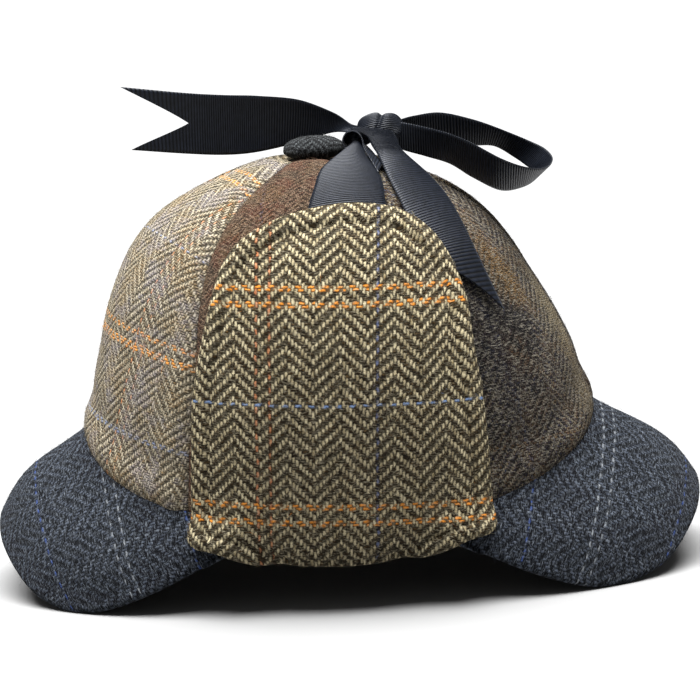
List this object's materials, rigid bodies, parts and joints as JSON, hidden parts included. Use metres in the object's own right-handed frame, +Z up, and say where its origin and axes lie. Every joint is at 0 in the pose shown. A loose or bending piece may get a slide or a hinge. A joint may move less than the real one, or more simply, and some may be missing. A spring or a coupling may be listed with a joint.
{
  "type": "deerstalker hat",
  "caption": "Patchwork tweed deerstalker with two peaks and padded ear flaps tied up over the crown by a ribbon in a half bow.",
  "frame": {"origin": "on the surface the hat stands on, under the middle of its box", "axes": "+X along the hat from its rear peak to its front peak, -Y towards the near ear flap, +Z up"},
  "size_m": [0.3134, 0.1958, 0.2189],
  "materials": {
    "olive_tweed": "woven wool, olive brown with golden and blue flecks",
    "russet_tweed": "woven wool, reddish brown with tan flecks",
    "taupe_tweed": "woven wool herringbone, grey taupe with an orange overcheck",
    "navy_tweed": "brushed woven wool, navy charcoal with pale flecks",
    "cream_herringbone": "bold woven wool herringbone, cream on dark brown with orange and blue overcheck",
    "charcoal_tweed": "woven wool, charcoal with grey flecks",
    "black_grosgrain": "ribbed polyester ribbon, satin"
  },
  "bodies": {
    "root": {"crown_panel_1": "olive_tweed", "crown_panel_2": "russet_tweed", "crown_panel_3": "taupe_tweed", "crown_panel_4": "taupe_tweed", "crown_panel_5": "russet_tweed", "crown_panel_6": "olive_tweed", "front_peak": "navy_tweed", "rear_peak": "navy_tweed", "ear_flap_near": "cream_herringbone", "ear_flap_far": "cream_herringbone", "crown_button": "charcoal_tweed", "tie_near": "black_grosgrain", "tie_far": "black_grosgrain", "tail_long": "black_grosgrain", "tail_swallow": "black_grosgrain", "bow_loop": "black_grosgrain", "bow_knot": "black_grosgrain"}
  },
  "joints": []
}
